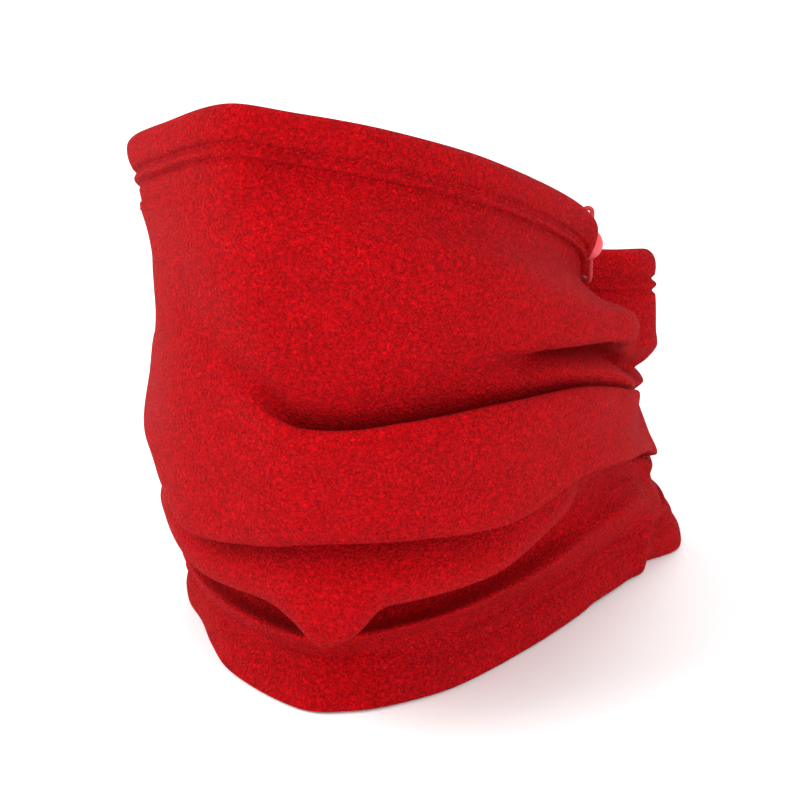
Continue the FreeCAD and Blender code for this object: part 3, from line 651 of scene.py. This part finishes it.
def makeBackSeam():
    # the overlocked allowance, pressed flat inside and bridging the folds, with its thread
    column = int(np.argmin(np.abs(stations - seam["station"])))
    below, above = fromRim[:, column], fromFloor[:, column]
    belowHem = (below > seam["belowTopHem"]) & (below < farAway)
    rows = np.where(belowHem & (above > seam["aboveLowerHem"]) & (above < farAway))[0]
    outward = np.append(outwardAt(1, [seam["station"]])[0], 0)
    aside = np.cross((0, 0, 1), outward)
    reach, height = grid[rows, column] @ outward, grid[rows, column, 2]
    levels = np.arange(height.max() - seam["topTrim"], height.min(), -seam["rowStep"])
    inner = np.array([reach[np.abs(height - level) < seam["foldReach"]].min() for level in levels])
    inner = np.convolve(np.pad(inner, 2, mode="edge"), np.ones(5) / 5, mode="valid")  # smoothed over 5 rows
    middle = (grid[rows, column] @ aside).mean()
    spine = outward * inner[:, None] + aside * middle + np.array((0, 0, 1)) * levels[:, None]
    down = np.gradient(spine, axis=0)
    down /= np.linalg.norm(down, axis=1)[:, None]
    across = np.broadcast_to(aside, spine.shape)
    out = np.cross(across, down)
    out *= np.sign(out @ outward)[:, None]
    low = cloth["thickness"] + seam["gap"]
    high, half = low + seam["thickness"], seam["width"] / 2
    flat, soft = half - seam["edge"], seam["round"]
    section = [(-half, low + soft), (-half, high - soft), (-flat, high), (0, high + seam["crown"]),
               (flat, high), (half, high - soft), (half, low + soft), (flat, low), (-flat, low)]
    strip = np.stack([spine + across * side - out * inset for side, inset in section], 1)
    piece = meshFromGrid("backSeam", strip)
    pickOnly(piece)
    bpy.ops.object.mode_set(mode="EDIT")
    bpy.ops.mesh.select_all(action="SELECT")
    bpy.ops.mesh.fill_holes(sides=0)
    bpy.ops.mesh.normals_make_consistent(inside=False)
    bpy.ops.object.mode_set(mode="OBJECT")
    bpy.ops.object.shade_smooth()
    piece.data.materials.append(fleeceMaterial)
    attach(piece, "gaiter")
    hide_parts("back_seam")
    length = np.concatenate([[0], np.cumsum(np.linalg.norm(np.diff(spine, axis=0), axis=1))])
    at = np.arange(2, length[-1] - 2, seam["pitch"])
    face = [np.stack([np.interp(at, length, values[:, k]) for k in range(3)], 1)
            for values in (spine - out * (high + seam["threadLift"]), across, -out)]
    makeStitches("seamThread", face[0] + face[1] * seam["threadAside"], face[1], face[2])


makeBackSeam()


# Care label: a blank woven tape that hangs inside, under the top hem.  Sizes are in mm.
label = {"station": 14.0, "width": 20.0, "height": 31.0, "drop": 17.0, "out": -4.3, "thickness": 0.35,
         "wave": 0.5, "waveRate": 0.35, "curl": 7.0, "curlPower": 1.3, "stitchDrop": 1.5, "stitchPitch": 2.2,
         "stitchLift": 0.3}


# Woven satin: smooth, faintly shiny off-white tape with a fine warp running down it.
def makeLabelMaterial():
    material, tree, shader = newMaterial("wovenSatinTape", Roughness=0.45, Sheen_Weight=0.1, Anisotropic=0.4)
    place = addNode(tree, "ShaderNodeTexCoord").outputs["Object"]
    warp = addNode(tree, "ShaderNodeTexWave", {"Vector": place}, bands_direction="X",
                   inputs={"Scale": 320.0, "Distortion": 0.6, "Detail": 1.0})
    shade = addNode(tree, "ShaderNodeValToRGB", {"Fac": warp.outputs["Fac"]})
    setRamp(shade, [(0.0, toLinear("#d9d4cc")), (1.0, toLinear("#efebe4"))])
    tree.links.new(shade.outputs["Color"], shader.inputs["Base Color"])
    bump = addNode(tree, "ShaderNodeBump", {"Height": warp.outputs["Fac"]},
                   inputs={"Strength": 0.4, "Distance": 0.05 * mm})
    tree.links.new(bump.outputs["Normal"], shader.inputs["Normal"])
    return material


def makeCareLabel():
    across = np.linspace(-label["width"] / 2, label["width"] / 2, 25)
    down = np.linspace(0, label["height"], 32)
    centre = ringAt(0, [label["station"]], label["out"], crownAt([label["station"]])[:, 2] - label["drop"])[0]
    outward = np.append(outwardAt(0, [label["station"]])[0], 0)
    aside = np.cross((0, 0, 1), outward)
    rows = []
    for d in down:
        share = d / label["height"]
        wave = label["wave"] * share * np.sin(across * label["waveRate"] + 1)
        inward = wave + label["curl"] * share**label["curlPower"]
        rows.append(centre + aside * across[:, None] - outward * inward[:, None] - np.array((0, 0, d)))
    piece = meshFromGrid("careLabel", np.stack(rows), closedAround=False)
    pickOnly(piece)
    solid = piece.modifiers.new("tape", "SOLIDIFY")
    solid.thickness = label["thickness"] * mm
    solid.offset = 0
    bpy.ops.object.modifier_apply(modifier="tape")
    bpy.ops.object.shade_smooth()
    piece.data.materials.append(makeLabelMaterial())
    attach(piece, "gaiter")
    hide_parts("care_label")
    at = np.arange(-label["width"] / 2 + 1.5, label["width"] / 2 - 1, label["stitchPitch"])[:, None]
    points = centre + aside * at - outward * label["stitchLift"] - np.array((0, 0, label["stitchDrop"]))
    threads = makeStitches("labelStitches", points, aside + 0 * points, -outward + 0 * points)


makeCareLabel()
print("seam and label done")


# Drawcord: one braided elastic, held in the top hem's casing, by the eyelets and by the lock.
# Its places repeat the CAD's, in mm; "front" and "rear" are the eyelets' stations.
drawcord = {"radius": 0.8, "spacing": 3.0, "inset": 2.9, "drop": 8.0, "loopTop": 137.0, "bend": 2.2,
            "front": 8.2, "rear": 9.8, "ball": (40.6, 45.2), "turn": 34.0, "sides": 16,
            "runSteps": 460, "bendSteps": 7, "crestSteps": 13, "strands": 4, "braidPitch": 1.6}


def cordLine():
    # round the casing from the rear eyelet to the front one, then up through the lock, over and back
    at = np.linspace(drawcord["rear"], drawcord["front"] + stationCount, drawcord["runSteps"])
    shape = roundSpline(rimShape, at)
    run = ringAt(0, at, hemShift(shape, drawcord["drop"]) - drawcord["inset"],
                 crownAt(at)[:, 2] + shape[:, 0] - drawcord["drop"])
    turn = math.radians(drawcord["turn"])
    aside = np.array((math.cos(turn), math.sin(turn), 0)) * drawcord["spacing"] / 2
    centre = np.array((*drawcord["ball"], drawcord["loopTop"]))
    up, back = centre - aside, centre + aside
    path = [run[-1]]
    for corner, after in ((np.array((up[0], up[1], run[-1][2])), up),
                          (np.array((back[0], back[1], run[0][2])), run[0])):
        before = path[-1]
        reach = min(drawcord["bend"], np.linalg.norm(corner - before) * 0.8)  # within the short side
        first = corner + (before - corner) / np.linalg.norm(before - corner) * reach
        last = corner + (after - corner) / np.linalg.norm(after - corner) * reach
        for u in np.linspace(0, 1, drawcord["bendSteps"]):
            path.append((1 - u)**2 * first + 2 * u * (1 - u) * corner + u * u * last)
        if after is up:
            path.append((last + up) / 2)
            for angle in np.linspace(math.pi, 0, drawcord["crestSteps"]):
                path.append(centre + aside * math.cos(angle)
                            + np.array((0, 0, drawcord["spacing"] / 2)) * math.sin(angle))
    return np.concatenate([run, np.array(path[1:])])


# Braided elastic: matt polyester sleeve of crossing strands over rubber, each strand a small ridge.
def makeCordMaterial():
    material, tree, shader = newMaterial("braidedElastic", Roughness=0.75, Sheen_Weight=0.1)
    place = addNode(tree, "ShaderNodeUVMap", uv_map="braid").outputs["UV"]
    split = addNode(tree, "ShaderNodeSeparateXYZ", {0: place})
    waves = []
    for way in (1.0, -1.0):
        slope = addNode(tree, "ShaderNodeMath", {0: split.outputs["Y"], 2: split.outputs["X"]},
                        operation="MULTIPLY_ADD", inputs={1: way})
        waves.append(addNode(tree, "ShaderNodeMath", {0: slope.outputs[0]}, operation="SINE"))
    strands = addNode(tree, "ShaderNodeMath", {0: waves[0].outputs[0], 1: waves[1].outputs[0]},
                      operation="MAXIMUM")
    shade = addNode(tree, "ShaderNodeValToRGB", {"Fac": strands.outputs[0]})
    setRamp(shade, [(0.0, toLinear("#8a0610")), (0.8, toLinear("#c01824"))])
    tree.links.new(shade.outputs["Color"], shader.inputs["Base Color"])
    bump = addNode(tree, "ShaderNodeBump", {"Height": strands.outputs[0]},
                   inputs={"Strength": 0.6, "Distance": 0.08 * mm})
    tree.links.new(bump.outputs["Normal"], shader.inputs["Normal"])
    return material


def makeDrawcord():
    line = cordLine()
    along = np.roll(line, -1, 0) - np.roll(line, 1, 0)
    along /= np.linalg.norm(along, axis=1)[:, None]
    first = np.cross(along[0], (0, 0, 1.0))
    sides = [first / np.linalg.norm(first)]
    for k in range(1, len(line) + 1):  # carried round without twisting
        way = along[k % len(line)]
        side = sides[-1] - way * (sides[-1] @ way)
        sides.append(side / np.linalg.norm(side))
    other = np.cross(along[0], sides[0])
    leftOver = math.atan2(sides[-1] @ other, sides[-1] @ sides[0])
    rings = []
    for k, (point, way) in enumerate(zip(line, along)):
        side, over = sides[k], np.cross(way, sides[k])
        turns = np.linspace(0, 2 * math.pi, drawcord["sides"], endpoint=False) - leftOver * k / len(line)
        spoke = np.cos(turns)[:, None] * side + np.sin(turns)[:, None] * over
        rings.append(point + drawcord["radius"] * spoke)
    rings.append(rings[0])
    piece = meshFromGrid("drawcord", np.stack(rings))
    closed = np.concatenate([line, line[:1]])
    length = np.concatenate([[0], np.cumsum(np.linalg.norm(np.diff(closed, axis=0), axis=1))])
    layer = piece.data.uv_layers.new(name="braid")
    turn = 2 * math.pi
    count = drawcord["sides"]
    for face in piece.data.polygons:
        for loop in face.loop_indices:
            row, side = divmod(piece.data.loops[loop].vertex_index, count)
            if side == 0 and face.index % count == count - 1:
                side = count
            layer.data[loop].uv = (side / count * turn * drawcord["strands"],
                                   length[row] * turn / drawcord["braidPitch"])
    pickOnly(piece)
    bpy.ops.object.mode_set(mode="EDIT")
    bpy.ops.mesh.select_all(action="SELECT")
    bpy.ops.mesh.remove_doubles(threshold=0.00001)
    bpy.ops.mesh.normals_make_consistent(inside=False)
    bpy.ops.object.mode_set(mode="OBJECT")
    bpy.ops.object.shade_smooth()
    piece.data.materials.append(makeCordMaterial())
    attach(piece, "gaiter")
    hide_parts("drawcord")
    print("drawcord", round(length[-1]), "mm round")


makeDrawcord()


# Injection-moulded acetal with a fine satin surface: an even sheen and the faintest orange peel.
def makeLockMaterial():
    material, tree, shader = newMaterial("mouldedAcetal", Roughness=0.42, IOR=1.48, Subsurface_Weight=0.1,
                                         Subsurface_Scale=0.002)
    place = addNode(tree, "ShaderNodeTexCoord").outputs["Object"]
    peel = addNode(tree, "ShaderNodeTexNoise", {"Vector": place}, inputs={"Scale": 1400.0, "Detail": 3.0})
    shade = addNode(tree, "ShaderNodeValToRGB", {"Fac": peel.outputs["Fac"]})
    setRamp(shade, [(0.3, toLinear("#c8323c")), (0.7, toLinear("#d4404a"))])
    tree.links.new(shade.outputs["Color"], shader.inputs["Base Color"])
    rough = addNode(tree, "ShaderNodeMapRange", {"Value": peel.outputs["Fac"]},
                    inputs={"To Min": 0.36, "To Max": 0.5})
    tree.links.new(rough.outputs[0], shader.inputs["Roughness"])
    bump = addNode(tree, "ShaderNodeBump", {"Height": peel.outputs["Fac"]},
                   inputs={"Strength": 0.25, "Distance": 0.05 * mm})
    tree.links.new(bump.outputs["Normal"], shader.inputs["Normal"])
    return material


# Enamelled brass: a hard dark red gloss coat over metal, a little uneven.
def makeEyeletMaterial():
    material, tree, shader = newMaterial("enamelledBrass", Roughness=0.25, IOR=1.5, Coat_Weight=0.6)
    place = addNode(tree, "ShaderNodeTexCoord").outputs["Object"]
    haze = addNode(tree, "ShaderNodeTexNoise", {"Vector": place}, inputs={"Scale": 900.0, "Detail": 2.0})
    shade = addNode(tree, "ShaderNodeValToRGB", {"Fac": haze.outputs["Fac"]})
    setRamp(shade, [(0.3, toLinear("#7e0c16")), (0.7, toLinear("#96121e"))])
    tree.links.new(shade.outputs["Color"], shader.inputs["Base Color"])
    return material


# Drawn spring steel: bright, with fine lines along the wire.
def makeSpringMaterial():
    material, tree, shader = newMaterial("drawnSpringSteel", Metallic=1.0, Roughness=0.3)
    place = addNode(tree, "ShaderNodeTexCoord").outputs["Object"]
    lines = addNode(tree, "ShaderNodeTexNoise", {"Vector": place}, inputs={"Scale": 3000.0, "Detail": 2.0})
    shade = addNode(tree, "ShaderNodeValToRGB", {"Fac": lines.outputs["Fac"]})
    setRamp(shade, [(0.3, toLinear("#9a9a9a")), (0.7, toLinear("#c0c0c0"))])
    tree.links.new(shade.outputs["Color"], shader.inputs["Base Color"])
    return material


def dressNode(name, material):
    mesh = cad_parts[name].data
    mesh.materials.clear()
    mesh.materials.append(material)


lockMaterial, eyeletMaterial, springMaterial = makeLockMaterial(), makeEyeletMaterial(), makeSpringMaterial()
for nodeName in ("lock_shell", "lock_plunger"):
    dressNode(nodeName, lockMaterial)
for nodeName in ("eyelet_front", "eyelet_rear", "eyelet_washer_front", "eyelet_washer_rear"):
    dressNode(nodeName, eyeletMaterial)
dressNode("lock_spring", springMaterial)
print("lock and eyelets dressed")

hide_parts("fleece_upper", "fleece_lower", "top_hem", "bottom_hem")
